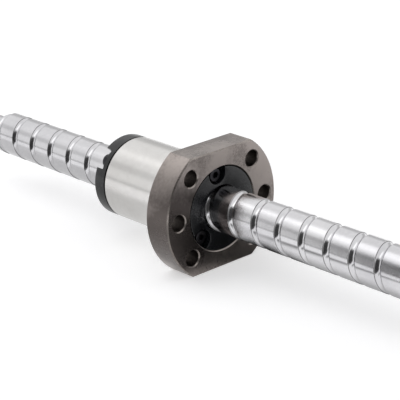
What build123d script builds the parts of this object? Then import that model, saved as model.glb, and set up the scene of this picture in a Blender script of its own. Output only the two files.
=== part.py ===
from build123d import *
from math import ceil, cos, floor, pi, radians, sin
import os

os.makedirs("parts", exist_ok=True)

# Flanged ball screw with end caps that turn the balls back, in millimetres.
# X runs along the screw, from the plain body of the nut to its flanged front. X = 0 is the
# mounting face of the flange, on the axis. Z is square to the two flats of the flange.
# Angles are in degrees about X, counted from +Y towards +Z.

# Screw and its ball track. The balls roll on a circle a little outside the screw.
screw_d = 15.0
lead = 10.0
ball_d = 3.175
ball_centre_above_screw = 0.9
track_play = 0.05
chords_a_turn = 12
track_x_at_zero = 6.5
thread_front = 93.0
thread_rear = -102.0
thread_chamfer = 1.0

# Fixed end of the screw: bearing seat, lock nut thread and coupling journal
seat_d = 12.0
seat_length = 25.0
locknut_thread_d = 11.9
locknut_thread_length = 14.0
relief_d = 10.6
relief_w = 1.5
coupling_d = 10.0
coupling_length = 15.0
journal_chamfer = 0.5

# Floating end of the screw: bearing journal with a snap ring groove
float_d = 10.0
float_length = 11.0
snap_groove_d = 9.6
snap_groove_w = 1.15
snap_groove_at = 9.15

# Nut body, from the bore outwards
nut_bore_play = 0.6
loaded_turns = 3.77
return_above_track = 3.45
channel_play = 0.0625
body_wall = 0.5
body_chamfer = 0.8
bolt_above_body = 5.0
bolt_to_rim = 5.0
flat_above_body = 6.0
flange_t = 10.0
flange_chamfer = 0.5
bolt_hole_d = 5.5
bolt_hole_chamfer = 0.35
bolt_angles = (0, 45, 135, 180, 225, 315)

# Turns of the balls in the caps, from the track up to the return hole
turn_rise = 1.6
turn_bend_r = 2.2

# Grease port in the lower flat of the flange, with its passage to the first turn of the track
grease_thread_d = 5.0
grease_thread_depth = 5.4
grease_passage_d = 2.0
grease_passage_offset = 1.2

# End caps, the front one in a recess of the flange
cap_t = 4.5
cap_step = 0.05
cap_bore_play = 0.4
cap_chamfer = 0.4
cap_recess_gap = 0.2
cap_recess_depth = 4.6
cap_recess_chamfer = 0.3

# Cap screws, M2.5 with a low head
cap_screw_to_rim = 2.35
cap_screw_spread = 118.0
cap_screw_d = 2.5
cap_screw_play = 0.03
cap_screw_grip = 3.9
cap_screw_tap_reserve = 0.4
cap_screw_head_d = 4.5
cap_screw_head_h = 1.8
cap_screw_head_chamfer = 0.25
cap_screw_socket = 2.0
cap_screw_socket_depth = 1.1
cap_screw_clearance = 0.15

# Pockets of the cap, open to its rim, with the screw heads on their floors
pocket_play = 1.35
pocket_floor = 1.6
pocket_wall = 0.42

# Wiper rings, each held in a groove of its cap
wiper_play = 0.1
wiper_thickness = 0.75
wiper_w = 1.3
wiper_seat_play = 0.03
wiper_lip = 0.4

# Balls shown in the track and on the way back; the real train fills both
loaded_balls = 5
returning_balls = 3

# Sizes that follow
screw_r = screw_d / 2
ball_r = ball_d / 2
ball_circle_r = screw_r + ball_centre_above_screw
nut_bore_r = screw_r + nut_bore_play
channel_r = ball_r + channel_play
return_r = ball_circle_r + return_above_track
body_r = return_r + channel_r + body_wall
bolt_circle_r = body_r + bolt_above_body
flange_r = bolt_circle_r + bolt_to_rim
flat_z = body_r + flat_above_body
cap_r = body_r - cap_step
cap_bore_r = screw_r + cap_bore_play
recess_r = cap_r + cap_recess_gap
cap_screw_r = cap_r - cap_screw_to_rim
wiper_inner_r = screw_r + wiper_play
wiper_r = wiper_inner_r + wiper_thickness
wiper_seat_r = wiper_r + wiper_seat_play
pocket_r = cap_screw_head_d / 2 + pocket_play
pocket_inner_r = wiper_seat_r + pocket_wall
pocket_depth = cap_t - pocket_floor

# Places that follow
front_seat = flange_t - cap_recess_depth
rear_seat = front_seat - loaded_turns * lead
front_track_angle = 360 * (front_seat - track_x_at_zero) / lead
rear_track_angle = front_track_angle - 360 * loaded_turns
turn_span = (rear_track_angle - front_track_angle) % 360 / 2
return_angle = front_track_angle + turn_span
front_cap_angle = front_track_angle + turn_span / 2
rear_cap_angle = rear_track_angle - turn_span / 2

# The ball track is a tube of straight chords. Its corners lie outside the ball circle by as much as
# the middles of its chords lie inside, and the tube is wide enough for a ball on the true helix.
chord_angle = 360 / chords_a_turn
half_chord = cos(radians(chord_angle / 2))
corner_r = ball_circle_r * 2 / (1 + half_chord)
track_r = ball_r + corner_r - ball_circle_r + track_play


def polar(x, r, angle):
    """The point at this place along the axis, this far from it."""
    return Vector(x, r * cos(radians(angle)), r * sin(radians(angle)))


def track_x(angle):
    """Where the ball helix stands along the axis at this angle, whole turns counted."""
    return track_x_at_zero + lead * angle / 360


def ball_track(x_from, x_to):
    """The helical tube that the balls roll in, cut from the screw and from the nut alike."""
    first = floor(360 * (x_from - track_x(return_angle)) / lead / chord_angle) - 1
    last = ceil(360 * (x_to - track_x(return_angle)) / lead / chord_angle) + 1
    angles = [return_angle + (i + 0.5) * chord_angle for i in range(first, last + 1)]
    route = Polyline(*[polar(track_x(a), corner_r, a) for a in angles])
    with BuildPart() as tube:
        with BuildSketch(Plane(origin=route @ 0, z_dir=route % 0)):
            Circle(track_r)
        sweep(path=route, transition=Transition.RIGHT)
    return tube.part


def turn_route(seat, track_angle, side):
    """From the end of the track, straight off the ball circle, round a bend, into the return hole."""
    leave = polar(seat, ball_circle_r, track_angle)
    corner = polar(seat + side * turn_rise, return_r, return_angle)
    into = polar(seat - side * turn_rise, return_r, return_angle)
    return FilletPolyline(leave, corner, into, radius=turn_bend_r)


def turn_channel(route):
    """The tube that a ball fills on its way round the turn."""
    with BuildPart() as channel:
        with BuildSketch(Plane(origin=route @ 0, z_dir=route % 0)):
            Circle(channel_r)
        sweep(path=route)
    return channel.part


def cap_screw_angles(cap_angle):
    """The two screws stand on either side of the cap, away from the turn."""
    return (cap_angle + cap_screw_spread, cap_angle - cap_screw_spread)


def end_cap(seat, side, cap_angle, channel):
    """One cap on its seat; side is 1 at the front and -1 at the rear."""
    face = seat + side * cap_t
    with BuildPart() as cap:
        with BuildSketch(Plane.YZ.offset(seat)):
            Circle(cap_r)
            Circle(cap_bore_r, mode=Mode.SUBTRACT)
        extrude(amount=side * cap_t)
        rims = cap.edges().filter_by(GeomType.CIRCLE).sort_by(SortBy.RADIUS)[-2:]
        chamfer(rims.sort_by(Axis.X)[-1 if side > 0 else 0], cap_chamfer)
        with BuildSketch(Plane.YZ.offset(face - side * wiper_lip)):
            Circle(wiper_seat_r)
        extrude(amount=-side * (wiper_w + 2 * wiper_seat_play), mode=Mode.SUBTRACT)
        slot_reach = cap_r
        slot_r = pocket_inner_r + pocket_r + slot_reach / 2
        for angle in cap_screw_angles(cap_angle):
            with BuildSketch(Plane.YZ.offset(face)):
                with PolarLocations(slot_r, 1, start_angle=angle):
                    SlotCenterToCenter(slot_reach, 2 * pocket_r)
            extrude(amount=-side * pocket_depth, mode=Mode.SUBTRACT)
            with BuildSketch(Plane.YZ.offset(seat)):
                with PolarLocations(cap_screw_r, 1, start_angle=angle):
                    Circle(cap_screw_d / 2 + cap_screw_clearance)
            extrude(amount=side * pocket_floor, mode=Mode.SUBTRACT)
        add(channel, mode=Mode.SUBTRACT)
    return cap.part


def wiper_ring(face, side):
    """The ring that strips dirt from the screw, in the groove behind the cap's lip."""
    with BuildPart() as ring:
        with BuildSketch(Plane.YZ.offset(face - side * (wiper_lip + wiper_seat_play))):
            Circle(wiper_r)
            Circle(wiper_inner_r, mode=Mode.SUBTRACT)
        extrude(amount=-side * wiper_w)
    return ring.part


def cap_screw(seat, side, angle):
    """A low head screw with a hexagon socket, its head on the floor of the cap's pocket."""
    floor_x = seat + side * pocket_floor
    tip = seat - side * cap_screw_grip
    centre = polar(0, cap_screw_r, angle)
    with BuildPart() as screw:
        with BuildSketch(Plane.YZ.offset(floor_x)):
            with Locations((centre.Y, centre.Z)):
                Circle(cap_screw_head_d / 2)
        extrude(amount=side * cap_screw_head_h)
        rims = screw.edges().filter_by(GeomType.CIRCLE).sort_by(Axis.X)
        chamfer(rims[-1 if side > 0 else 0], cap_screw_head_chamfer)
        with BuildSketch(Plane.YZ.offset(floor_x + side * cap_screw_head_h)):
            with Locations((centre.Y, centre.Z)):
                RegularPolygon(cap_screw_socket / 2, 6, major_radius=False)
        extrude(amount=-side * cap_screw_socket_depth, mode=Mode.SUBTRACT)
        with BuildSketch(Plane.YZ.offset(tip)):
            with Locations((centre.Y, centre.Z)):
                Circle(cap_screw_d / 2 - cap_screw_play)
        extrude(amount=floor_x - tip)
    return screw.part


def ball(centre):
    """One ball of the train."""
    with BuildPart(Plane(origin=centre)) as sphere:
        Sphere(ball_r)
    return sphere.part


def save(part, name):
    """Label a finished piece and write it to its own file."""
    part.label = name
    export_step(part, f"parts/{name}.step")


# Screw shaft: a turned blank, then the track cut along its thread
screw_track = ball_track(thread_rear, thread_front)
seat_end = thread_front + seat_length
locknut_end = seat_end + locknut_thread_length
fixed_end = locknut_end + coupling_length
float_end = thread_rear - float_length
snap_groove_outer = thread_rear - snap_groove_at

with BuildPart() as screw_shaft:
    with BuildSketch(Plane.XY):
        with BuildLine():
            Polyline(
                (float_end, 0),
                (float_end, float_d / 2 - journal_chamfer),
                (float_end + journal_chamfer, float_d / 2),
                (snap_groove_outer, float_d / 2),
                (snap_groove_outer, snap_groove_d / 2),
                (snap_groove_outer + snap_groove_w, snap_groove_d / 2),
                (snap_groove_outer + snap_groove_w, float_d / 2),
                (thread_rear, float_d / 2),
                (thread_rear, screw_r - thread_chamfer),
                (thread_rear + thread_chamfer, screw_r),
                (thread_front - thread_chamfer, screw_r),
                (thread_front, screw_r - thread_chamfer),
                (thread_front, seat_d / 2),
                (seat_end, seat_d / 2),
                (seat_end, relief_d / 2),
                (seat_end + relief_w, relief_d / 2),
                (seat_end + relief_w, locknut_thread_d / 2),
                (locknut_end - journal_chamfer, locknut_thread_d / 2),
                (locknut_end, locknut_thread_d / 2 - journal_chamfer),
                (locknut_end, coupling_d / 2),
                (fixed_end - journal_chamfer, coupling_d / 2),
                (fixed_end, coupling_d / 2 - journal_chamfer),
                (fixed_end, 0),
                close=True,
            )
        make_face()
    revolve(axis=Axis.X)
    add(screw_track, mode=Mode.SUBTRACT)
save(screw_shaft.part, "screw_shaft")

# Nut body: flange with two flats, ground barrel, recess for the front cap, track and way back
nut_track = ball_track(rear_seat, front_seat)
front_route = turn_route(front_seat, front_track_angle, 1)
rear_route = turn_route(rear_seat, rear_track_angle, -1)
front_channel = turn_channel(front_route)
rear_channel = turn_channel(rear_route)
grease_x = flange_t / 2
grease_bottom = grease_thread_depth - flat_z

with BuildPart() as nut_body:
    with BuildSketch(Plane.YZ):
        Circle(flange_r)
        Rectangle(2 * flange_r, 2 * flat_z, mode=Mode.INTERSECT)
    extrude(amount=flange_t)
    chamfer(nut_body.edges().group_by(Axis.X)[0] + nut_body.edges().group_by(Axis.X)[-1], flange_chamfer)
    with BuildSketch(Plane.YZ):
        Circle(body_r)
    extrude(amount=rear_seat)
    chamfer(nut_body.edges().group_by(Axis.X)[0], body_chamfer)
    with BuildSketch(Plane.YZ.offset(flange_t)):
        Circle(recess_r)
    extrude(amount=-cap_recess_depth, mode=Mode.SUBTRACT)
    with BuildSketch(Plane.YZ.offset(flange_t)):
        for angle in bolt_angles:
            with PolarLocations(bolt_circle_r, 1, start_angle=angle):
                Circle(bolt_hole_d / 2)
    extrude(amount=-flange_t, mode=Mode.SUBTRACT)
    front_rims = nut_body.edges().filter_by(GeomType.CIRCLE).group_by(Axis.X)[-1]
    chamfer(front_rims.filter_by(lambda rim: rim.radius < recess_r - 1), bolt_hole_chamfer)
    front_rims = nut_body.edges().filter_by(GeomType.CIRCLE).group_by(Axis.X)[-1]
    chamfer(front_rims.filter_by(lambda rim: abs(rim.radius - recess_r) < 0.01), cap_recess_chamfer)
    with BuildSketch(Plane.YZ.offset(rear_seat)):
        Circle(nut_bore_r)
    extrude(amount=front_seat - rear_seat, mode=Mode.SUBTRACT)
    with BuildSketch(Plane.YZ.offset(rear_seat)):
        with PolarLocations(return_r, 1, start_angle=return_angle):
            Circle(channel_r)
    extrude(amount=front_seat - rear_seat, mode=Mode.SUBTRACT)
    add(nut_track, mode=Mode.SUBTRACT)
    add(front_channel, mode=Mode.SUBTRACT)
    add(rear_channel, mode=Mode.SUBTRACT)
    for angle in cap_screw_angles(front_cap_angle):
        with BuildSketch(Plane.YZ.offset(front_seat)):
            with PolarLocations(cap_screw_r, 1, start_angle=angle):
                Circle(cap_screw_d / 2)
        extrude(amount=-cap_screw_grip - cap_screw_tap_reserve, mode=Mode.SUBTRACT)
    for angle in cap_screw_angles(rear_cap_angle):
        with BuildSketch(Plane.YZ.offset(rear_seat)):
            with PolarLocations(cap_screw_r, 1, start_angle=angle):
                Circle(cap_screw_d / 2)
        extrude(amount=cap_screw_grip + cap_screw_tap_reserve, mode=Mode.SUBTRACT)
    with BuildSketch(Plane.XY.offset(-flat_z)):
        with Locations((grease_x, 0)):
            Circle(grease_thread_d / 2)
    extrude(amount=grease_thread_depth, mode=Mode.SUBTRACT)
    with BuildSketch(Plane.XY.offset(grease_bottom)):
        with Locations((grease_x - grease_passage_offset, 0)):
            Circle(grease_passage_d / 2)
    extrude(amount=-grease_bottom - ball_circle_r, mode=Mode.SUBTRACT)
save(nut_body.part, "nut_body")

# End caps, their wiper rings and screws
ends = (
    ("front", front_seat, 1, front_cap_angle, front_channel),
    ("rear", rear_seat, -1, rear_cap_angle, rear_channel),
)
for end, seat, side, cap_angle, channel in ends:
    save(end_cap(seat, side, cap_angle, channel), f"{end}_end_cap")
    save(wiper_ring(seat + side * cap_t, side), f"{end}_wiper_ring")
    for number, angle in enumerate(cap_screw_angles(cap_angle), 1):
        save(cap_screw(seat, side, angle), f"{end}_cap_screw_{number}")

# Balls: some of those under load, one in each turn and some on the way back
ball_spread = 360 * loaded_turns / loaded_balls
for number in range(1, loaded_balls + 1):
    angle = front_track_angle - (number - 0.5) * ball_spread
    save(ball(polar(track_x(angle), ball_circle_r, angle)), f"loaded_ball_{number}")
save(ball(front_route @ 0.5), "front_turn_ball")
save(ball(rear_route @ 0.5), "rear_turn_ball")
for number in range(1, returning_balls + 1):
    ball_x = front_seat - (number - 0.5) * (front_seat - rear_seat) / returning_balls
    save(ball(polar(ball_x, return_r, return_angle)), f"return_ball_{number}")
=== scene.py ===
from functools import partial
from math import acos, asin, atan2, ceil, cos, hypot, pi, radians, sin, tau

import bmesh
import bpy
from mathutils import Matrix, Vector


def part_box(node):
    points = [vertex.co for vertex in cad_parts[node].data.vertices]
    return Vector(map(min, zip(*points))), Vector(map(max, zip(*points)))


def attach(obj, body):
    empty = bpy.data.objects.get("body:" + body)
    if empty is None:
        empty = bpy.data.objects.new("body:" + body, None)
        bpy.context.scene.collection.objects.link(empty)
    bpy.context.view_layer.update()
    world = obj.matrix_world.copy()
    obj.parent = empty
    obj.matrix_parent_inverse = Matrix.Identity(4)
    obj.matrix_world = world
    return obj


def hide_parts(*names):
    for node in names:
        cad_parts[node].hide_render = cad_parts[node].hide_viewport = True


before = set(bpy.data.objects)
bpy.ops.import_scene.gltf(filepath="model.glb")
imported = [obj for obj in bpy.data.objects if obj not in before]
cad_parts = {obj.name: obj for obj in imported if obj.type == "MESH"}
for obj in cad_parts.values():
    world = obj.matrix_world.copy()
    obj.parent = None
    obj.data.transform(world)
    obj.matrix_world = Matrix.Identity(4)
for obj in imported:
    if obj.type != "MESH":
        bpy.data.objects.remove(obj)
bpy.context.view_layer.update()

# Ball screw in metres, in the frame's axes: X along the screw, out of the nut's flanged front,
# and Z square to the flange's flats. Angles are in radians about X, from +Y towards +Z.

MM = 0.001

# Sizes read from the frame
SCREW_LOW, SCREW_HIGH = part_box("screw_shaft")
NUT_LOW, NUT_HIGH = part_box("nut_body")
FRONT_CAP_LOW, FRONT_CAP_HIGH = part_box("front_end_cap")

SCREW_R = SCREW_HIGH.z
FLANGE_R = NUT_HIGH.y
FLAT_Z = NUT_HIGH.z
FLANGE_FRONT = NUT_HIGH.x
REAR_SEAT = NUT_LOW.x
FRONT_SEAT = FRONT_CAP_LOW.x
CAP_R = FRONT_CAP_HIGH.y
CAP_T = FRONT_CAP_HIGH.x - FRONT_CAP_LOW.x

# Ball track
LEAD = 10 * MM
BALL_R = 3.175 / 2 * MM
BALL_CIRCLE_R = 8.4 * MM
GROOVE_R = 1.71 * MM
TRACK_X_AT_ZERO = 6.5 * MM
THREAD_REAR = -102 * MM
THREAD_FRONT = 93 * MM
THREAD_CHAMFER = 1.0 * MM
GROOVE_EDGE_BREAK = 0.07 * MM
# Width of the strip on each groove wall, under its edge, that is painted dark as shade
GROOVE_SHADE_STRIP = 0.18 * MM
CREST_SUPPORT = 0.12 * MM

# Ends of the screw
SEAT_R = 6.0 * MM
SEAT_FRONT = 118 * MM
RELIEF_R = 5.3 * MM
RELIEF_W = 1.5 * MM
LOCKNUT_R = 5.95 * MM
LOCKNUT_ROOT_R = 5.36 * MM
LOCKNUT_END_R = LOCKNUT_ROOT_R + 0.02 * MM
LOCKNUT_HALF_ROOT = 0.06 * MM
LOCKNUT_HALF_CREST = 0.07 * MM
LOCKNUT_PITCH = 1.0 * MM
LOCKNUT_FRONT = 132 * MM
COUPLING_R = 5.0 * MM
FLOAT_R = 5.0 * MM
SNAP_GROOVE_R = 4.8 * MM
SNAP_GROOVE_FRONT = -110 * MM
SNAP_GROOVE_W = 1.15 * MM
JOURNAL_CHAMFER = 0.5 * MM

# Nut body
FLANGE_CHAMFER = 0.4 * MM
BARREL_R = 14 * MM
BARREL_CHAMFER = 0.8 * MM
NUT_BORE_R = 8.1 * MM
BOLT_CIRCLE_R = 19 * MM
BOLT_HOLE_R = 2.75 * MM
BOLT_HOLE_CHAMFER = 0.35 * MM
BOLT_ANGLES = [radians(a) for a in (0, 45, 135, 180, 225, 315)]
RECESS_R = CAP_R + 0.2 * MM
RECESS_CHAMFER = 0.3 * MM
GREASE_R = 2.5 * MM
GREASE_MAJOR_R = 3.0 * MM
GREASE_MOUTH_R = GREASE_MAJOR_R + 0.1 * MM
GREASE_DEPTH = 5.4 * MM

# End caps, their screws and wiper rings
CAP_BORE_R = 7.9 * MM
CAP_BORE_EDGE = 0.15 * MM
CAP_EDGE = 0.22 * MM
CAP_BASE = 1.6 * MM
POCKET_R = 3.6 * MM
POCKET_INNER = 8.8 * MM
CAP_SCREW_CIRCLE_R = 11.6 * MM
CAP_SCREW_SPREAD = radians(118)
CAP_SCREW_HEAD_R = 2.25 * MM
CAP_SCREW_HEAD_H = 1.8 * MM
CAP_SCREW_HEAD_EDGE = 0.25 * MM
CAP_SCREW_HEX = 1.0 * MM
CAP_SCREW_HEX_BEVEL = 0.12 * MM
CAP_SCREW_HEX_DEPTH = 1.1 * MM
CAP_SCREW_SHANK_R = 1.22 * MM
CAP_SCREW_CLEARANCE_R = 1.4 * MM
CAP_SCREW_GRIP = 3.9 * MM
CAP_SCREW_TIP = 0.3 * MM
TAPPED_HOLE_R = CAP_SCREW_SHANK_R + 0.03 * MM
TAPPED_HOLE_DEPTH = CAP_SCREW_GRIP + 0.4 * MM
WIPER_OUTER_R = 8.35 * MM
WIPER_SEAT_R = 8.38 * MM
WIPER_INNER_R = 7.6 * MM
WIPER_THIN = 0.3 * MM
WIPER_LIP = 0.4 * MM
WIPER_W = 1.3 * MM
WIPER_PLAY = 0.03 * MM

# Way back for the balls
RETURN_R = 11.85 * MM
CHANNEL_R = 1.65 * MM
TURN_RISE = 1.6 * MM
BEND_R = 2.2 * MM
LEAST_BALL_SPACING = 2.02 * BALL_R

# Places that follow
FRONT_TRACK_ANGLE = (FRONT_SEAT - TRACK_X_AT_ZERO) / LEAD * tau
REAR_TRACK_ANGLE = (REAR_SEAT - TRACK_X_AT_ZERO) / LEAD * tau
TURN_SPAN = (REAR_TRACK_ANGLE - FRONT_TRACK_ANGLE) % tau / 2
RETURN_ANGLE = FRONT_TRACK_ANGLE + TURN_SPAN

# Each end of the nut: where its cap sits, which way the cap looks along X, the cap's own angle
FRONT_END = (FRONT_SEAT, 1, FRONT_TRACK_ANGLE + TURN_SPAN / 2)
REAR_END = (REAR_SEAT, -1, REAR_TRACK_ANGLE - TURN_SPAN / 2)

# Steps round a full turn, and the rings of a ball
RIM_STEPS = 192
WIPER_STEPS = 144
JOURNAL_STEPS = 96
TRACK_STEPS = 72
HOLE_STEPS = 48
LOCKNUT_STEPS = 48
BALL_STEPS = 28
BALL_RINGS = 16

# Distances that count as none
WELD = 0.0005 * MM
HELIX_WELD = 0.001 * MM
CUT_SLACK = 0.0001 * MM
CHAMFER_SLACK = 0.001 * MM
NEAR_PLANE = 0.02 * MM


def polar(x, r, angle):
    """The point this far along the axis and this far from it."""
    return Vector((x, r * cos(angle), r * sin(angle)))


def screw_angles(cap_angle):
    """The angles of the two screws of a cap."""
    return [cap_angle + way * CAP_SCREW_SPREAD for way in (1, -1)]


def new_object(name, data):
    thing = bpy.data.objects.new(name, data)
    bpy.context.scene.collection.objects.link(thing)
    return thing


def as_piece(mesh, name, smooth_angle=None):
    """Makes an object; an angle gives it smooth curves and crisp edges."""
    if smooth_angle:
        mesh.shade_smooth()
        mesh.set_sharp_from_angle(angle=smooth_angle)
    return new_object(name, mesh)


# Meshes made of rings of points, walls between rings and flat faces with holes

def ring(bm, points):
    return [bm.verts.new(p) for p in points]


def circle(bm, x, r, steps=RIM_STEPS, centre=None):
    """A ring square to X, about the axis or about a centre point."""
    y, z = (centre.y, centre.z) if centre else (0, 0)
    angles = [tau * i / steps for i in range(steps)]
    return ring(bm, [(x, y + r * cos(a), z + r * sin(a)) for a in angles])


def wall(bm, a, b, slot=0):
    """Quads between two rings of as many points."""
    for i in range(len(a)):
        j = (i + 1) % len(a)
        bm.faces.new((a[i], a[j], b[j], b[i])).material_index = slot


def tube(bm, levels, slots, steps=HOLE_STEPS, centre=None):
    """Circles at (x, r) levels with a wall from each to the next; gives the first and last."""
    rings = [circle(bm, x, r, steps, centre) for x, r in levels]
    for a, b, slot in zip(rings, rings[1:], slots):
        wall(bm, a, b, slot)
    return rings[0], rings[-1]


def lathe(bm, first, profile, slot=0):
    """Carries a ring along X through the (x, r) points of a profile; gives the last ring."""
    for x, r in profile:
        angles = [atan2(v.co.z, v.co.y) for v in first]
        following = ring(bm, [polar(x, r, a) for a in angles])
        wall(bm, first, following, slot)
        first = following
    return first


def edges_round(bm, loop):
    """The edges round a closed loop of points."""
    edges = []
    for i, v in enumerate(loop):
        w = loop[(i + 1) % len(loop)]
        edges.append(bm.edges.get((v, w)) or bm.edges.new((v, w)))
    return edges


def flat_face(bm, loops, normal, slot=0):
    """One flat face bounded by the first loop, with the other loops as its holes."""
    edges = [e for loop in loops for e in edges_round(bm, loop)]
    made = bmesh.ops.triangle_fill(bm, use_beauty=True, edges=edges, normal=normal)
    for item in made["geom"]:
        if isinstance(item, bmesh.types.BMFace):
            item.material_index = slot


def boundary_loop(vertices, x):
    """The open edge of the new surface that lies in this plane, as a loop of points in order."""
    near = [v for v in vertices if abs(v.co.x - x) < NEAR_PLANE]
    open_edges = [e for e in dict.fromkeys(e for v in near for e in v.link_edges)
                  if e.is_boundary and all(abs(v.co.x - x) < NEAR_PLANE for v in e.verts)]
    following = {}
    for e in open_edges:
        for v in e.verts:
            following.setdefault(v, []).append(e.other_vert(v))
    start = open_edges[0].verts[0]
    loop, last, here = [start], None, start
    while True:
        ahead = [v for v in following[here] if v is not last]
        last, here = here, ahead[0]
        if here is start:
            return loop
        loop.append(here)


def quarter_round(height, r):
    """The (rise, inset) steps of an edge rounded by this radius, up to this height."""
    turns = (0, pi / 8, pi / 4, 3 * pi / 8, pi / 2)
    return [(height - r + r * sin(t), r * (1 - cos(t))) for t in turns]


def finish_mesh(bm, name, materials=(), smooth_angle=radians(32)):
    """Welds the points, turns the faces all one way and makes an object with smooth curves and
    crisp edges."""
    bmesh.ops.remove_doubles(bm, verts=bm.verts, dist=WELD)
    bmesh.ops.recalc_face_normals(bm, faces=bm.faces)
    mesh = bpy.data.meshes.new(name)
    bm.to_mesh(mesh)
    bm.free()
    for material in materials:
        mesh.materials.append(material)
    return as_piece(mesh, name, smooth_angle)


# Nodes

def new_tree(name, kind, inputs, outputs):
    """A node group with these sockets; gives it and the outputs of its input node."""
    tree = bpy.data.node_groups.new(name, kind)
    for direction, sockets in (("INPUT", inputs), ("OUTPUT", outputs)):
        for label, socket in sockets.items():
            tree.interface.new_socket(name=label, in_out=direction,
                                      socket_type="NodeSocket" + socket)
    return tree, tree.nodes.new("NodeGroupInput").outputs


def feed(tree, node, inputs):
    """Links each input to a socket or gives it a value; gives the node's outputs."""
    for key, value in inputs.items():
        if isinstance(value, bpy.types.NodeSocket):
            tree.links.new(value, node.inputs[key])
        else:
            node.inputs[key].default_value = value
    return node.outputs


def add_node(tree, kind, inputs=None):
    return feed(tree, tree.nodes.new(kind), inputs or {})


def math_node(tree, operation, *inputs):
    """A Math node fed by sockets or plain numbers; gives its result."""
    node = tree.nodes.new("ShaderNodeMath")
    node.operation = operation
    return feed(tree, node, dict(enumerate(inputs)))[0]


# Geometry Nodes

def helix_tree():
    """Carries a profile, whose points hold x and radius, round the axis on a helix."""
    tree, given = new_tree(
        "profile_on_helix", "GeometryNodeTree",
        {"Geometry": "Geometry", "Lead": "Float", "Start Angle": "Float", "Turns": "Int",
         "Steps a Turn": "Int"},
        {"Geometry": "Geometry"})
    maths = partial(math_node, tree)

    # A grid of unit size about its middle, with a column for each point of the profile
    columns = add_node(tree, "GeometryNodeAttributeDomainSize",
                       {"Geometry": given["Geometry"]})["Point Count"]
    rows = maths("ADD", maths("MULTIPLY", given["Turns"], given["Steps a Turn"]), 1)
    grid = add_node(tree, "GeometryNodeMeshGrid", {"Vertices X": columns, "Vertices Y": rows})
    place = add_node(tree, "GeometryNodeInputPosition")["Position"]
    at = add_node(tree, "ShaderNodeSeparateXYZ", {"Vector": place})
    across = maths("ADD", at["X"], 0.5)
    column = maths("ROUND", maths("MULTIPLY", across, maths("SUBTRACT", columns, 1)))
    along = maths("ADD", at["Y"], 0.5)
    sweep = maths("MULTIPLY", maths("MULTIPLY", along, given["Turns"]), tau)
    angle = maths("ADD", sweep, given["Start Angle"])

    sample = tree.nodes.new("GeometryNodeSampleIndex")
    sample.data_type = "FLOAT_VECTOR"
    sampled = feed(tree, sample, {"Geometry": given["Geometry"], "Value": place, "Index": column})
    profile = add_node(tree, "ShaderNodeSeparateXYZ", {"Vector": sampled["Value"]})
    travel = maths("DIVIDE", maths("MULTIPLY", angle, given["Lead"]), tau)
    target = add_node(tree, "ShaderNodeCombineXYZ", {
        "X": maths("ADD", profile["X"], travel),
        "Y": maths("MULTIPLY", profile["Y"], maths("COSINE", angle)),
        "Z": maths("MULTIPLY", profile["Y"], maths("SINE", angle)),
    })
    moved = add_node(tree, "GeometryNodeSetPosition",
                     {"Geometry": grid["Mesh"], "Position": target["Vector"]})
    welded = add_node(tree, "GeometryNodeMergeByDistance",
                      {"Geometry": moved["Geometry"], "Distance": HELIX_WELD})
    add_node(tree, "NodeGroupOutput", {"Geometry": welded["Geometry"]})
    return tree


def end_with_instances(tree, inputs, material):
    """Closes a tree with Instance on Points, Realize Instances and Set Material."""
    instances = add_node(tree, "GeometryNodeInstanceOnPoints", inputs)
    real = add_node(tree, "GeometryNodeRealizeInstances", {"Geometry": instances["Instances"]})
    dressed = add_node(tree, "GeometryNodeSetMaterial",
                       {"Geometry": real["Geometry"], "Material": material})
    add_node(tree, "NodeGroupOutput", {"Geometry": dressed["Geometry"]})


def ball_train_tree():
    """Sets balls one against the next along a route."""
    tree, given = new_tree(
        "ball_train", "GeometryNodeTree",
        {"Geometry": "Geometry", "Ball Radius": "Float", "Spacing": "Float",
         "Material": "Material"},
        {"Geometry": "Geometry"})
    route = add_node(tree, "GeometryNodeMeshToCurve", {"Mesh": given["Geometry"]})
    resample = tree.nodes.new("GeometryNodeResampleCurve")
    resample.mode = "LENGTH"
    places = feed(tree, resample, {"Curve": route["Curve"], "Length": given["Spacing"]})
    ball = add_node(tree, "GeometryNodeMeshUVSphere",
                    {"Segments": BALL_STEPS, "Rings": BALL_RINGS,
                     "Radius": given["Ball Radius"]})
    smooth = add_node(tree, "GeometryNodeSetShadeSmooth", {"Geometry": ball["Mesh"]})
    end_with_instances(tree, {"Points": places["Curve"], "Instance": smooth["Geometry"]},
                       given["Material"])
    return tree


def screws_tree():
    """Sets a screw at each point, its head away from the middle of the nut."""
    tree, given = new_tree(
        "cap_screws", "GeometryNodeTree",
        {"Geometry": "Geometry", "Screw": "Object", "Middle": "Float", "Material": "Material"},
        {"Geometry": "Geometry"})
    screw = add_node(tree, "GeometryNodeObjectInfo", {"Object": given["Screw"]})
    points = add_node(tree, "GeometryNodeMeshToPoints", {"Mesh": given["Geometry"]})
    place = add_node(tree, "GeometryNodeInputPosition")["Position"]
    x = add_node(tree, "ShaderNodeSeparateXYZ", {"Vector": place})["X"]
    behind = math_node(tree, "LESS_THAN", x, given["Middle"])
    turn = add_node(tree, "ShaderNodeCombineXYZ", {"Z": math_node(tree, "MULTIPLY", behind, pi)})
    end_with_instances(tree, {"Points": points["Points"], "Instance": screw["Geometry"],
                              "Rotation": turn["Vector"]}, given["Material"])
    return tree


def grow(tree, name, points, values, joined=False):
    """Runs a tree on a few points, or on the line through them, and keeps what it makes
    as a plain mesh."""
    mesh = bpy.data.meshes.new(name)
    links = [(i, i + 1) for i in range(len(points) - 1)] if joined else []
    mesh.from_pydata([tuple(p) for p in points], links, [])
    seed = new_object(name, mesh)
    modifier = seed.modifiers.new(tree.name, "NODES")
    modifier.node_group = tree
    for item in tree.interface.items_tree:
        if item.name in values:
            modifier[item.identifier] = values[item.name]
    graph = bpy.context.evaluated_depsgraph_get()
    graph.update()
    grown = bpy.data.meshes.new_from_object(seed.evaluated_get(graph))
    bpy.data.objects.remove(seed)
    bpy.data.meshes.remove(mesh)
    grown.name = name
    return grown


HELIX = helix_tree()


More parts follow.
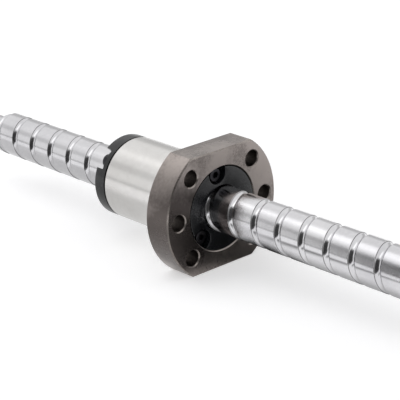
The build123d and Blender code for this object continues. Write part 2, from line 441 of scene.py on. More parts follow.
def helical_surface(bm, profile, lead, x_at_zero, low, high, steps, chamfer=None):
    """Adds a helical surface cut square at both ends and gives its two end loops.
    A chamfer at 45 degrees is given by its width and the radius that it ends on."""
    spare_turns = 2
    first = (low - x_at_zero) / lead - spare_turns
    turns = ceil((high - low) / lead + 2 * spare_turns)
    values = {"Lead": lead, "Start Angle": first * tau, "Turns": turns, "Steps a Turn": steps}
    mesh = grow(HELIX, "helix", [(x + x_at_zero, r, 0) for x, r in profile], values)
    part = bmesh.new()
    part.from_mesh(mesh)
    bpy.data.meshes.remove(mesh)
    width, end_r = chamfer or (0, 0)
    # Cuts across the chamfer give it points to move; the cut at the end takes off what is outside
    insets = [width * share for share in (1, 0.75, 0.5, 0.25)] if chamfer else []
    for x, direction in ((low, -1), (high, 1)):
        for inset in [*insets, 0]:
            bmesh.ops.bisect_plane(part, geom=part.verts[:] + part.edges[:] + part.faces[:],
                                   dist=CUT_SLACK, plane_co=(x - direction * inset, 0, 0),
                                   plane_no=(direction, 0, 0), clear_outer=not inset)
    if chamfer:
        for v in part.verts:
            depth = min(v.co.x - low, high - v.co.x)
            if depth < width + CHAMFER_SLACK:
                r = hypot(v.co.y, v.co.z)
                new_r = min(r, end_r + max(depth, 0))
                v.co.y *= new_r / r
                v.co.z *= new_r / r
    bmesh.ops.remove_doubles(part, verts=part.verts, dist=WELD)
    joined = bpy.data.meshes.new("part")
    part.to_mesh(joined)
    part.free()
    count = len(bm.verts)
    bm.from_mesh(joined)
    bpy.data.meshes.remove(joined)
    bm.verts.ensure_lookup_table()
    added = bm.verts[count:]
    return boundary_loop(added, low), boundary_loop(added, high)


def track_profile(side, crest_r):
    """One lead of the ball track's section: side -1 on the screw and 1 in the nut."""
    arc_steps, crest_steps = 14, 5
    stretch = hypot(1, LEAD / (tau * BALL_CIRCLE_R))
    reach = abs(BALL_CIRCLE_R - crest_r) + GROOVE_EDGE_BREAK
    swing = acos(reach / GROOVE_R)
    turns = [swing * (2 * i / arc_steps - 1) for i in range(arc_steps + 1)]
    groove = [(GROOVE_R * sin(t) * stretch, BALL_CIRCLE_R + side * GROOVE_R * cos(t))
              for t in turns]
    edge = groove[-1][0] + GROOVE_EDGE_BREAK
    flat = LEAD - 2 * edge - 2 * CREST_SUPPORT
    crest = [edge + CREST_SUPPORT + flat * i / crest_steps for i in range(crest_steps + 1)]
    crest = [edge, *crest, LEAD - edge]
    return groove + [(x, crest_r) for x in crest] + [(groove[0][0] + LEAD, groove[0][1])]


# Shader nodes

def noise_node(tree, vector, scale, detail):
    return add_node(tree, "ShaderNodeTexNoise",
                    {"Vector": vector, "Scale": scale, "Detail": detail})["Fac"]


def smooth_ramp(tree, value, zero_at, one_at):
    """0 at one value and 1 at the other, with a soft change between."""
    ramp = tree.nodes.new("ShaderNodeMapRange")
    ramp.interpolation_type = "SMOOTHSTEP"
    return feed(tree, ramp, {"Value": value, "From Min": zero_at, "From Max": one_at})["Result"]


def turned_lines_group():
    """Fine marks that run round the axis, as grinding and turning leave them."""
    tree, given = new_tree("turned_lines", "ShaderNodeTree",
                           {"Vector": "Vector", "Lines a Metre": "Float"}, {"Lines": "Float"})
    # The noise is drawn out across the axis, so it runs round it as lines
    drawn_out = 0.02
    squeezed = add_node(tree, "ShaderNodeMapping",
                        {"Vector": given["Vector"], "Scale": (1, drawn_out, drawn_out)})
    lines = noise_node(tree, squeezed["Vector"], given["Lines a Metre"], detail=4.0)
    add_node(tree, "NodeGroupOutput", {"Lines": lines})
    return tree


def patches_group():
    """Broad soft patches with finer mottling in them."""
    tree, given = new_tree("patches", "ShaderNodeTree",
                           {"Vector": "Vector", "Scale": "Float", "Fine Share": "Float"},
                           {"Mask": "Float"})
    maths = partial(math_node, tree)
    times_finer = 14
    low, high = 0.35, 0.65
    broad = noise_node(tree, given["Vector"], given["Scale"], detail=2.0)
    fine_scale = maths("MULTIPLY", given["Scale"], times_finer)
    fine = noise_node(tree, given["Vector"], fine_scale, detail=3.0)
    share = given["Fine Share"]
    mixed = maths("ADD", maths("MULTIPLY", broad, maths("SUBTRACT", 1, share)),
                  maths("MULTIPLY", fine, share))
    spread = add_node(tree, "ShaderNodeMapRange",
                      {"Value": mixed, "From Min": low, "From Max": high})
    add_node(tree, "NodeGroupOutput", {"Mask": spread["Result"]})
    return tree


def place_group(tree, group, inputs):
    node = tree.nodes.new("ShaderNodeGroup")
    node.node_tree = group
    return feed(tree, node, inputs)[0]


def blend_colours(tree, mask, dark, light):
    mix = tree.nodes.new("ShaderNodeMix")
    mix.data_type = "RGBA"
    return feed(tree, mix, {"A": (*dark, 1), "B": (*light, 1), "Factor": mask})["Result"]


def new_material(name):
    """A new material; gives its tree and its shader too."""
    material = bpy.data.materials.new(name)
    material.use_nodes = True
    tree = material.node_tree
    return material, tree, tree.nodes["Principled BSDF"]


TURNED = turned_lines_group()
PATCHES = patches_group()


def make_material(name, patches, dark, light, roughness, metallic=1.0,
                  lines=None, grain=None, relief=None, shade=None):
    """Patches, given by their scale and their share of mottling, blend the dark and light colours.
    The roughness runs between its two values with the turned lines, if any, or the patches.
    The relief follows the grain, the lines or the patches. shade changes the colours' blend."""
    material, tree, shader = new_material(name)
    place = add_node(tree, "ShaderNodeTexCoord")["Object"]
    scale, fine_share = patches
    mask = place_group(tree, PATCHES, {"Vector": place, "Scale": scale, "Fine Share": fine_share})
    marks = place_group(tree, TURNED, {"Vector": place, "Lines a Metre": lines}) if lines else mask
    blend = shade(tree, place, mask) if shade else mask
    rough = add_node(tree, "ShaderNodeMapRange",
                     {"Value": marks, "To Min": roughness[0], "To Max": roughness[1]})
    feed(tree, shader, {"Metallic": metallic, "Roughness": rough["Result"],
                        "Base Color": blend_colours(tree, blend, dark, light)})
    if relief:
        height = noise_node(tree, place, *grain) if grain else marks
        bump = add_node(tree, "ShaderNodeBump", {"Height": height, "Distance": relief})
        feed(tree, shader, {"Normal": bump["Normal"]})
    return material


def painted_shade_on_the_left(tree, place, mask):
    """Painted shade: darkens the flange's colour on its left and evens out the heat-tint patches
    there.
    """
    maths = partial(math_node, tree)
    shadiest = (0.010, -0.019, -0.003)
    full_within, none_beyond = 0.006, 0.025
    evening, lift, darkening = 0.5, 0.4, 0.85
    apart = tree.nodes.new("ShaderNodeVectorMath")
    apart.operation = "DISTANCE"
    distance = feed(tree, apart, {0: place, 1: shadiest})["Value"]
    shaded = smooth_ramp(tree, distance, none_beyond, full_within)
    evened = maths("SUBTRACT", 1, maths("MULTIPLY", shaded, evening))
    lifted = maths("ADD", maths("MULTIPLY", mask, evened), lift)
    return maths("SUBTRACT", lifted, maths("MULTIPLY", shaded, darkening))


screw_steel = make_material(
    "polished_screw_steel", patches=(60.0, 0.3),
    dark=(0.60, 0.595, 0.615), light=(0.69, 0.685, 0.70), roughness=(0.10, 0.22),
    lines=14000.0, relief=0.009 * MM)
# Painted shade: the strip of each groove wall above the ground track is painted dark, standing in
# for the shade along the groove's edges
groove_edge_shade_steel = make_material(
    "groove_edge_painted_shade", patches=(260.0, 0.5),
    dark=(0.12, 0.118, 0.12), light=(0.30, 0.295, 0.30), roughness=(0.26, 0.4))
barrel_steel = make_material(
    "ground_barrel_steel", patches=(45.0, 0.25),
    dark=(0.65, 0.635, 0.62), light=(0.75, 0.74, 0.725), roughness=(0.16, 0.26),
    lines=7000.0, relief=0.004 * MM)
# The heat tint's patches are the flange's own colour; its darker left side is painted shade
flange_steel = make_material(
    "heat_tint_and_painted_shade", patches=(70.0, 0.25),
    dark=(0.11, 0.095, 0.089), light=(0.38, 0.338, 0.318), roughness=(0.24, 0.36),
    grain=(5200.0, 3.0), relief=0.0035 * MM, shade=painted_shade_on_the_left)
edge_steel = make_material(
    "bare_edge_steel", patches=(240.0, 0.5),
    dark=(0.17, 0.15, 0.14), light=(0.37, 0.335, 0.31), roughness=(0.38, 0.24))
# Painted shade: the bore, the holes and the faces under the caps are painted far darker than steel,
# standing in for the shade inside them
bore_shade_steel = make_material(
    "bore_painted_in_shade", patches=(150.0, 0.5),
    dark=(0.05, 0.042, 0.038), light=(0.12, 0.105, 0.095), roughness=(0.30, 0.50),
    lines=5000.0, relief=0.008 * MM)
cap_plastic = make_material(
    "moulded_cap_plastic", patches=(120.0, 0.5),
    dark=(0.004, 0.0045, 0.0055), light=(0.008, 0.009, 0.011), roughness=(0.20, 0.30),
    metallic=0.0, grain=(6500.0, 2.0), relief=0.004 * MM)
screw_black = make_material(
    "black_oxide_steel", patches=(400.0, 0.5),
    dark=(0.02, 0.02, 0.024), light=(0.06, 0.058, 0.062), roughness=(0.28, 0.45))
wiper_black = make_material(
    "wiper_rubber", patches=(300.0, 0.6),
    dark=(0.012, 0.012, 0.012), light=(0.028, 0.027, 0.026), roughness=(0.65, 0.85),
    metallic=0.0, relief=0.01 * MM)
ball_steel = make_material(
    "polished_ball_steel", patches=(300.0, 0.5),
    dark=(0.82, 0.82, 0.83), light=(0.88, 0.88, 0.89), roughness=(0.04, 0.09))


# Screw shaft

SCREW_MATERIALS = (screw_steel, groove_edge_shade_steel)
POLISHED, PAINTED_GROOVE_SHADE = range(2)


def locknut_profile():
    """One pitch of the locknut thread's section."""
    middle = LOCKNUT_PITCH / 2
    return [
        (-LOCKNUT_HALF_ROOT, LOCKNUT_ROOT_R),
        (LOCKNUT_HALF_ROOT, LOCKNUT_ROOT_R),
        (middle - LOCKNUT_HALF_CREST, LOCKNUT_R),
        (middle + LOCKNUT_HALF_CREST, LOCKNUT_R),
        (LOCKNUT_PITCH - LOCKNUT_HALF_ROOT, LOCKNUT_ROOT_R),
    ]


def make_screw_shaft():
    bm = bmesh.new()
    rear, front = helical_surface(bm, track_profile(-1, SCREW_R), LEAD, TRACK_X_AT_ZERO,
                                  THREAD_REAR, THREAD_FRONT, TRACK_STEPS,
                                  (THREAD_CHAMFER, SCREW_R - THREAD_CHAMFER))
    # Faces in the strip under each groove edge, past the chamfers, get the painted shade
    for f in bm.faces:
        middle = f.calc_center_median()
        below = SCREW_R - hypot(middle.y, middle.z)
        in_shade_strip = GROOVE_EDGE_BREAK < below < GROOVE_EDGE_BREAK + GROOVE_SHADE_STRIP
        past_chamfers = THREAD_REAR + THREAD_CHAMFER < middle.x < THREAD_FRONT - THREAD_CHAMFER
        f.material_index = PAINTED_GROOVE_SHADE if in_shade_strip and past_chamfers else POLISHED

    # Front end: bearing seat with its relief, locknut thread and coupling journal
    seat = circle(bm, THREAD_FRONT, SEAT_R, JOURNAL_STEPS)
    flat_face(bm, [front, seat], (1, 0, 0))
    relief_end = SEAT_FRONT + RELIEF_W
    seat_end = lathe(bm, seat, [
        (SEAT_FRONT, SEAT_R),
        (SEAT_FRONT, RELIEF_R),
        (relief_end, RELIEF_R),
    ])
    low, high = helical_surface(bm, locknut_profile(), LOCKNUT_PITCH, 0, relief_end, LOCKNUT_FRONT,
                                LOCKNUT_STEPS, (JOURNAL_CHAMFER, LOCKNUT_END_R))
    flat_face(bm, [low, seat_end], (-1, 0, 0))
    coupling = circle(bm, LOCKNUT_FRONT, COUPLING_R, JOURNAL_STEPS)
    flat_face(bm, [high, coupling], (1, 0, 0))
    end = SCREW_HIGH.x
    tip = lathe(bm, coupling, [
        (end - JOURNAL_CHAMFER, COUPLING_R),
        (end, COUPLING_R - JOURNAL_CHAMFER),
    ])
    flat_face(bm, [tip], (1, 0, 0))

    # Rear end: floating journal with its snap ring groove
    floating = circle(bm, THREAD_REAR, FLOAT_R, JOURNAL_STEPS)
    flat_face(bm, [rear, floating], (-1, 0, 0))
    groove_rear = SNAP_GROOVE_FRONT - SNAP_GROOVE_W
    end = SCREW_LOW.x
    tip = lathe(bm, floating, [
        (SNAP_GROOVE_FRONT, FLOAT_R),
        (SNAP_GROOVE_FRONT, SNAP_GROOVE_R),
        (groove_rear, SNAP_GROOVE_R),
        (groove_rear, FLOAT_R),
        (end + JOURNAL_CHAMFER, FLOAT_R),
        (end, FLOAT_R - JOURNAL_CHAMFER),
    ])
    flat_face(bm, [tip], (-1, 0, 0))
    return finish_mesh(bm, "screw_with_ball_track", SCREW_MATERIALS, radians(28))


# Nut body

NUT_MATERIALS = (flange_steel, edge_steel, barrel_steel, bore_shade_steel)
FLANGE_SIDE, EDGE, BARREL, BORE = range(4)


def flange_outline(bm, x, inset):
    """The flange's two round sides joined by its flats, drawn in by the inset."""
    r = FLANGE_R - inset
    corner = asin((FLAT_Z - inset) / r)
    arc_steps = 64
    right = [-corner + 2 * corner * i / arc_steps for i in range(arc_steps + 1)]
    return ring(bm, [polar(x, r, a + turn) for turn in (0, pi) for a in right])


def make_flange_rim(bm):
    """The rim from the mounting face to the front, with the grease port in its lower flat;
    gives the outlines of the two faces."""
    back = flange_outline(bm, 0, FLANGE_CHAMFER)
    back_rim = flange_outline(bm, FLANGE_CHAMFER, 0)
    front_rim = flange_outline(bm, FLANGE_FRONT - FLANGE_CHAMFER, 0)
    front = flange_outline(bm, FLANGE_FRONT, FLANGE_CHAMFER)
    wall(bm, back, back_rim, EDGE)
    wall(bm, front_rim, front, EDGE)
    # The last quad of the rim would be the lower flat, which gets the port instead
    for i in range(len(back_rim) - 1):
        quad = (back_rim[i], back_rim[i + 1], front_rim[i + 1], front_rim[i])
        bm.faces.new(quad).material_index = FLANGE_SIDE

    def port_ring(r, depth):
        angles = [tau * i / HOLE_STEPS for i in range(HOLE_STEPS)]
        return ring(bm, [(FLANGE_FRONT / 2 + r * cos(a), r * sin(a), -FLAT_Z + depth)
                         for a in angles])

    mouth = port_ring(GREASE_MOUTH_R, 0)
    lower_flat = [back_rim[-1], back_rim[0], front_rim[0], front_rim[-1]]
    flat_face(bm, [lower_flat, mouth], (0, 0, -1), FLANGE_SIDE)
    inner = port_ring(GREASE_R, GREASE_MOUTH_R - GREASE_R)
    wall(bm, mouth, inner, EDGE)
    bottom = port_ring(GREASE_R, GREASE_DEPTH)
    wall(bm, inner, bottom, BORE)
    flat_face(bm, [bottom], (0, 0, -1), BORE)
    return back, front


def make_tapped_holes(bm, seat, side, cap_angle):
    """The holes for one cap's screws; gives their mouths."""
    mouths = []
    for a in screw_angles(cap_angle):
        levels = [(seat, TAPPED_HOLE_R), (seat - side * TAPPED_HOLE_DEPTH, TAPPED_HOLE_R)]
        mouth, floor = tube(bm, levels, [BORE], centre=polar(0, CAP_SCREW_CIRCLE_R, a))
        flat_face(bm, [floor], (side, 0, 0), BORE)
        mouths.append(mouth)
    return mouths


def make_nut_body():
    bm = bmesh.new()
    back, front = make_flange_rim(bm)
    bolt_hole = [
        (FLANGE_FRONT, BOLT_HOLE_R + BOLT_HOLE_CHAMFER),
        (FLANGE_FRONT - BOLT_HOLE_CHAMFER, BOLT_HOLE_R),
        (0, BOLT_HOLE_R),
    ]
    holes = [tube(bm, bolt_hole, (EDGE, BORE), centre=polar(0, BOLT_CIRCLE_R, a))
             for a in BOLT_ANGLES]
    front_holes, back_holes = zip(*holes)
    recess_mouth, recess_floor = tube(bm, [
        (FLANGE_FRONT, RECESS_R + RECESS_CHAMFER),
        (FLANGE_FRONT - RECESS_CHAMFER, RECESS_R),
        (FRONT_SEAT, RECESS_R),
    ], (EDGE, FLANGE_SIDE), RIM_STEPS)
    flat_face(bm, [front, recess_mouth, *front_holes], (1, 0, 0), FLANGE_SIDE)
    barrel, barrel_rim = tube(bm, [
        (0, BARREL_R),
        (REAR_SEAT + BARREL_CHAMFER, BARREL_R),
        (REAR_SEAT, BARREL_R - BARREL_CHAMFER),
    ], (BARREL, BARREL), RIM_STEPS)
    flat_face(bm, [back, barrel, *back_holes], (-1, 0, 0), FLANGE_SIDE)

    # Bore with its ball track, the hole that brings the balls back and the tapped holes
    before = set(bm.faces)
    rear_track, front_track = helical_surface(bm, track_profile(1, NUT_BORE_R), LEAD,
                                              TRACK_X_AT_ZERO, REAR_SEAT, FRONT_SEAT, TRACK_STEPS)
    for f in bm.faces:
        if f not in before:
            f.material_index = BORE
    return_front, return_rear = tube(bm, [(FRONT_SEAT, CHANNEL_R), (REAR_SEAT, CHANNEL_R)], [BORE],
                                     centre=polar(0, RETURN_R, RETURN_ANGLE))
    front_tapped = make_tapped_holes(bm, *FRONT_END)
    rear_tapped = make_tapped_holes(bm, *REAR_END)
    flat_face(bm, [recess_floor, front_track, return_front, *front_tapped], (1, 0, 0), BORE)
    flat_face(bm, [barrel_rim, rear_track, return_rear, *rear_tapped], (-1, 0, 0), BORE)
    # Known fault: the faces of this mesh come out of finish_mesh pointing inwards
    return finish_mesh(bm, "nut_with_flange", NUT_MATERIALS)


# End caps

def cap_outline(bm, pockets, x, inset, open_pockets):
    """A ring round the cap, and for each pocket the slice of the ring that goes round it.
    A pocket that isn't open leaves the round outline as it is, with fewer points."""
    pocket_steps, across_steps, rim_steps = 24, 8, 50
    r = CAP_R - inset
    w = POCKET_R + inset
    half = asin(w / r)
    points, spans = [], []
    for a, following in zip(pockets, pockets[::-1]):
        out = Vector((0, cos(a), sin(a)))
        sideways = Vector((0, -sin(a), cos(a)))
        centre = out * (POCKET_INNER + POCKET_R)
        if open_pockets:
            turns = [-pi / 2 - pi * i / pocket_steps for i in range(pocket_steps + 1)]
            stretch = [centre + w * (out * cos(t) + sideways * sin(t)) for t in turns]
        else:
            angles = [a - half + 2 * half * (i + 1) / across_steps for i in range(across_steps - 1)]
            stretch = [polar(0, r, angle) for angle in angles]
        start = len(points)
        points += [polar(0, r, a - half), *stretch, polar(0, r, a + half)]
        spans.append(slice(start, len(points)))
        gap = (following - a) % tau - 2 * half
        points += [polar(0, r, a + half + gap * i / rim_steps) for i in range(1, rim_steps)]
    return ring(bm, [(x, p.y, p.z) for p in points]), spans


def make_end_cap(name, seat, side, cap_angle):
    """A cap with two pockets open to its rim, from its seat to its outer face."""
    bm = bmesh.new()
    pockets = sorted(a % tau for a in screw_angles(cap_angle))
    base_low, _ = cap_outline(bm, pockets, seat, 0, False)
    base_high, base_spans = cap_outline(bm, pockets, seat + side * CAP_BASE, 0, False)
    wall(bm, base_low, base_high)
    top_low, top_spans = cap_outline(bm, pockets, seat + side * CAP_BASE, 0, True)
    last = top_low
    for height, inset in quarter_round(CAP_T, CAP_EDGE):
        following, _ = cap_outline(bm, pockets, seat + side * height, inset, True)
        wall(bm, last, following)
        last = following

    holes_low = []
    clearance = [(seat, CAP_SCREW_CLEARANCE_R), (seat + side * CAP_BASE, CAP_SCREW_CLEARANCE_R)]
    for a, base_span, top_span in zip(pockets, base_spans, top_spans):
        low, high = tube(bm, clearance, [0], centre=polar(0, CAP_SCREW_CIRCLE_R, a))
        holes_low.append(low)
        around = top_low[top_span]
        flat_face(bm, [base_high[base_span] + around[-2:0:-1], high], (side, 0, 0))

    groove_out = CAP_T - WIPER_LIP
    groove_in = groove_out - WIPER_W - 2 * WIPER_PLAY
    bore_low = circle(bm, seat, CAP_BORE_R)
    bore_high = lathe(bm, bore_low, [
        (seat + side * groove_in, CAP_BORE_R),
        (seat + side * groove_in, WIPER_SEAT_R),
        (seat + side * groove_out, WIPER_SEAT_R),
        (seat + side * groove_out, CAP_BORE_R),
        (seat + side * (CAP_T - CAP_BORE_EDGE), CAP_BORE_R),
        (seat + side * CAP_T, CAP_BORE_R + CAP_BORE_EDGE),
    ])
    flat_face(bm, [last, bore_high], (side, 0, 0))
    flat_face(bm, [base_low, bore_low, *holes_low], (-side, 0, 0))
    return finish_mesh(bm, name, [cap_plastic], radians(35))


def make_wiper_ring(name, seat, side):
    """A ring whose lip thins towards the screw."""
    bm = bmesh.new()
    outer = seat + side * (CAP_T - WIPER_LIP - WIPER_PLAY)
    inner = outer - side * WIPER_W
    first = circle(bm, inner, WIPER_OUTER_R, WIPER_STEPS)
    last = lathe(bm, first, [
        (outer, WIPER_OUTER_R),
        (outer, WIPER_INNER_R + 2 * WIPER_THIN),
        (outer - side * WIPER_THIN, WIPER_INNER_R),
        (inner + side * WIPER_THIN, WIPER_INNER_R),
        (inner, WIPER_INNER_R + 2 * WIPER_THIN),
    ])
    wall(bm, last, first)
    return finish_mesh(bm, name, [wiper_black], radians(40))


# Cap screws

def make_cap_screw():
    """One low head screw on the X axis, its head resting on X = 0."""
    bm = bmesh.new()
    under = circle(bm, 0, CAP_SCREW_HEAD_R, HOLE_STEPS)
    rounding = quarter_round(CAP_SCREW_HEAD_H, CAP_SCREW_HEAD_EDGE)
    top = lathe(bm, under, [(rise, CAP_SCREW_HEAD_R - inset) for rise, inset in rounding])

    def hexagon(x, wider=0):
        corner_r = CAP_SCREW_HEX / cos(pi / 6) + wider
        return ring(bm, [polar(x, corner_r, pi / 3 * i) for i in range(6)])

    mouth = hexagon(CAP_SCREW_HEAD_H, CAP_SCREW_HEX_BEVEL)
    inner = hexagon(CAP_SCREW_HEAD_H - CAP_SCREW_HEX_BEVEL)
    floor = hexagon(CAP_SCREW_HEAD_H - CAP_SCREW_HEX_DEPTH)
    flat_face(bm, [top, mouth], (1, 0, 0))
    wall(bm, mouth, inner)
    wall(bm, inner, floor)
    flat_face(bm, [floor], (1, 0, 0))
    neck = circle(bm, 0, CAP_SCREW_SHANK_R, HOLE_STEPS)
    flat_face(bm, [under, neck], (-1, 0, 0))
    tip_x = -CAP_BASE - CAP_SCREW_GRIP
    tip = lathe(bm, neck, [
        (tip_x + CAP_SCREW_TIP, CAP_SCREW_SHANK_R),
        (tip_x, CAP_SCREW_SHANK_R - CAP_SCREW_TIP),
    ])
    flat_face(bm, [tip], (-1, 0, 0))
    return finish_mesh(bm, "screw_to_repeat")


def make_cap_screws():
    places = [polar(seat + side * CAP_BASE, CAP_SCREW_CIRCLE_R, a)
              for seat, side, cap_angle in (FRONT_END, REAR_END) for a in screw_angles(cap_angle)]
    one = make_cap_screw()
    values = {"Screw": one, "Middle": (FRONT_SEAT + REAR_SEAT) / 2, "Material": screw_black}
    mesh = grow(screws_tree(), "end_cap_screws", places, values)
    bpy.data.objects.remove(one)
    return as_piece(mesh, "end_cap_screws", radians(32))


# Balls

def way_round(seat, side, track_angle):
    """Straight off the end of the track, round a bend and into the return hole."""
    leave = polar(seat, BALL_CIRCLE_R, track_angle)
    corner = polar(seat + side * TURN_RISE, RETURN_R, RETURN_ANGLE)
    into = polar(seat - side * TURN_RISE, RETURN_R, RETURN_ANGLE)
    a, b = (leave - corner).normalized(), (into - corner).normalized()
    half = a.angle(b) / 2
    reach = BEND_R / sin(half) * cos(half)
    centre = corner + (a + b).normalized() * (BEND_R / sin(half))
    start, end = corner + a * reach - centre, corner + b * reach - centre
    swing = start.angle(end)
    steps = 8
    shares = [i / steps for i in range(steps + 1)]
    arc = [centre + (start * sin((1 - s) * swing) + end * sin(s * swing)) / sin(swing)
           for s in shares]
    return [*arc, into]


def ball_route():
    """The closed way of the balls: down the track, round the rear turn, back through the return
    hole and round the front turn."""
    steps = 200
    sweep = REAR_TRACK_ANGLE - FRONT_TRACK_ANGLE
    angles = [FRONT_TRACK_ANGLE + sweep * i / steps for i in range(steps + 1)]
    track = [polar(TRACK_X_AT_ZERO + LEAD * a / tau, BALL_CIRCLE_R, a) for a in angles]
    rear = way_round(REAR_SEAT, -1, REAR_TRACK_ANGLE)
    front = way_round(FRONT_SEAT, 1, FRONT_TRACK_ANGLE)
    return [*track, *rear, *reversed(front), track[0]]


def make_balls():
    route = ball_route()
    length = sum((b - a).length for a, b in zip(route, route[1:]))
    count = int(length / LEAST_BALL_SPACING)
    values = {"Ball Radius": BALL_R, "Spacing": length / count, "Material": ball_steel}
    mesh = grow(ball_train_tree(), "ball_train", route, values, joined=True)
    return as_piece(mesh, "ball_train")


# Put the pieces on their bodies

def dress(piece, body, slot, *nodes):
    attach(piece, body)
    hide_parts(*nodes)


dress(make_screw_shaft(), "screw", "screw_steel", "screw_shaft")
dress(make_nut_body(), "nut", "nut_steel", "nut_body")
dress(make_end_cap("cap_at_the_front", *FRONT_END), "nut", "cap_plastic", "front_end_cap")
dress(make_end_cap("cap_at_the_rear", *REAR_END), "nut", "cap_plastic", "rear_end_cap")
dress(make_wiper_ring("wiper_at_the_front", FRONT_SEAT, 1), "wipers", "wiper_rubber",
      "front_wiper_ring")
dress(make_wiper_ring("wiper_at_the_rear", REAR_SEAT, -1), "wipers", "wiper_rubber",
      "rear_wiper_ring")
dress(make_cap_screws(), "nut", "black_oxide_steel",
      "front_cap_screw_1", "front_cap_screw_2", "rear_cap_screw_1", "rear_cap_screw_2")
dress(make_balls(), "nut", "ball_steel", *[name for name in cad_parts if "ball" in name])


# Floor, light and camera

def background_seen(tree):
    """1 for the camera and for what metal mirrors, 0 for the light on the object."""
    path = add_node(tree, "ShaderNodeLightPath")
    seen = math_node(tree, "MAXIMUM", path["Is Camera Ray"], path["Is Glossy Ray"])
    return math_node(tree, "MAXIMUM", seen, path["Is Transmission Ray"])


def make_sheet(name, half_x, half_y, z, material):
    bm = bmesh.new()
    corners = ((-1, -1), (1, -1), (1, 1), (-1, 1))
    bm.faces.new(ring(bm, [(half_x * i, half_y * j, z) for i, j in corners]))
    return finish_mesh(bm, name, [material])


def make_floor():
    half_width = 3.0
    glow = 0.44
    material, tree, shader = new_material("white_floor")
    feed(tree, shader, {
        "Base Color": (0.86, 0.86, 0.87, 1),
        "Roughness": 0.9,
        "Specular IOR Level": 0.0,
        "Emission Color": (1, 1, 1, 1),
        "Emission Strength": math_node(tree, "MULTIPLY", background_seen(tree), glow),
    })
    make_sheet("floor", half_width, half_width, NUT_LOW.z, material)


def make_world():
    on_object, more_when_seen = 0.55, 0.45
    world = bpy.data.worlds.new("studio")
    bpy.context.scene.world = world
    world.use_nodes = True
    tree = world.node_tree
    more = math_node(tree, "MULTIPLY", background_seen(tree), more_when_seen)
    feed(tree, tree.nodes["Background"],
         {"Color": (1, 1, 1, 1), "Strength": math_node(tree, "ADD", more, on_object)})


def directions(azimuth, elevation):
    """To the right, up and out, for what looks at the nut from this direction.
    The azimuth runs from -Y towards +X."""
    across = Vector((cos(azimuth), sin(azimuth), 0))
    out = Vector((cos(elevation) * sin(azimuth), -cos(elevation) * cos(azimuth), sin(elevation)))
    return across, out.cross(across), out


def set_place(thing, place, across, up, out):
    turn = Matrix((across, up, out)).transposed().to_4x4()
    thing.matrix_world = Matrix.Translation(place) @ turn


def make_card(name, middle, across, up, size, grey, soft):
    """A studio card that only mirrored rays meet, so it changes what metal shows and nothing else.
    Its edges fade out over the soft width."""
    material, tree, shader = new_material(name)
    tree.nodes.remove(shader)
    place = add_node(tree, "ShaderNodeTexCoord")["Object"]
    at = add_node(tree, "ShaderNodeSeparateXYZ", {"Vector": place})
    half_x, half_y = size[0] / 2, size[1] / 2
    fades = [smooth_ramp(tree, math_node(tree, "ABSOLUTE", at[axis]), half, half - soft)
             for axis, half in (("X", half_x), ("Y", half_y))]
    mix = add_node(tree, "ShaderNodeMixShader", {
        "Fac": math_node(tree, "MULTIPLY", *fades),
        1: add_node(tree, "ShaderNodeBsdfTransparent")["BSDF"],
        2: add_node(tree, "ShaderNodeEmission", {"Strength": grey})["Emission"],
    })
    feed(tree, tree.nodes["Material Output"], {"Surface": mix["Shader"]})
    card = make_sheet(name, half_x, half_y, 0, material)
    set_place(card, middle, across, up, across.cross(up))
    card.visible_camera = False
    card.visible_diffuse = False
    card.visible_shadow = False
    card.visible_transmission = False


def make_area_light(name, place, size, power):
    """A rectangular light that looks at the origin and shows in no reflection."""
    light = bpy.data.lights.new(name, "AREA")
    light.shape = "RECTANGLE"
    light.size, light.size_y = size
    light.energy = power
    lamp = new_object(name, light)
    lamp.visible_glossy = False
    lamp.location = place
    lamp.rotation_euler = (-Vector(place)).to_track_quat("-Z", "Y").to_euler()


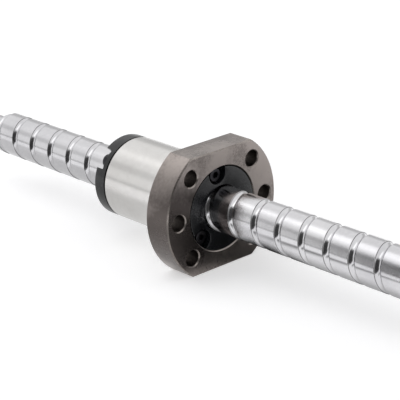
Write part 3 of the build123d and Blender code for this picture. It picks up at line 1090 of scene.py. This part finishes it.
def make_camera():
    """The camera as it was fitted to the photo."""
    azimuth, elevation, roll = radians(46.818), radians(20.877), radians(-1.166)
    target = Vector((-0.515, 0, 0.044)) * MM
    distance = 539.54 * MM
    focal_in_pixels, width_in_pixels = 1662.8, 400
    right, up, back = directions(azimuth, elevation)
    across = right * cos(roll) + up * sin(roll)
    upward = up * cos(roll) - right * sin(roll)
    data = bpy.data.cameras.new("camera")
    data.sensor_width = 36
    data.lens = focal_in_pixels / width_in_pixels * data.sensor_width
    data.clip_start, data.clip_end = 0.01, 20
    camera = new_object("camera", data)
    set_place(camera, target + back * distance, across, upward, back)
    bpy.context.scene.camera = camera


make_floor()
make_world()
make_area_light("overhead", (-0.42, -0.36, 0.86), (0.9, 0.9), 2.8)

# Cards square to their direction from the nut
for name, azimuth, elevation, distance, size, grey, soft in (
    ("softbox", -49, 64, 1.0, (1.3, 0.85), 1.6, 0.3),
    ("flag_by_the_camera", 13, 20, 0.5, (1.24, 1.04), 0.05, 0.22),
    ("grey_on_the_left", -52, 28, 1.0, (1.0, 0.28), 0.72, 0.12),
    ("line_on_the_left", -50, 2.5, 0.95, (1.0, 0.08), 0.4, 0.03),
    ("grey_behind", -137, 12, 0.9, (1.5, 0.50), 0.6, 0.15),
):
    across, up, out = directions(radians(azimuth), radians(elevation))
    make_card(name, out * distance, across, up, size, grey, soft)

# Cards that lie a little above the floor, their length turned from +X by the heading: painted
# shadow, dark and grey sheets that only the metal mirrors, in place of the floor's shade around the
# nut and the screw
for name, x, y, heading, size, grey, soft, lift in (
    ("dark_in_the_flange", 0.0443, 0.0316, 41, (0.115, 0.052), 0.03, 0.018, 0.2 * MM),
    ("dark_in_the_rim", 0.033, -0.062, -47, (0.10, 0.05), 0.22, 0.025, 0.35 * MM),
    ("grey_in_the_flange", 0.078, 0.064, 41, (0.07, 0.06), 0.35, 0.025, 0.25 * MM),
    ("grey_under_the_barrel", -0.064, -0.022, 0, (0.12, 0.09), 0.72, 0.03, 0.15 * MM),
    ("grey_under_the_shaft", 0.16, 0.008, 0, (0.3, 0.06), 0.48, 0.025, 0.05 * MM),
    ("grey_under_the_rear", -0.15, -0.035, 0, (0.16, 0.10), 0.8, 0.03, 0.1 * MM),
):
    a = radians(heading)
    across, up = Vector((cos(a), sin(a), 0)), Vector((-sin(a), cos(a), 0))
    make_card(name, Vector((x, y, NUT_LOW.z + lift)), across, up, size, grey, soft)

make_camera()
bpy.context.scene.view_settings.view_transform = "Standard"
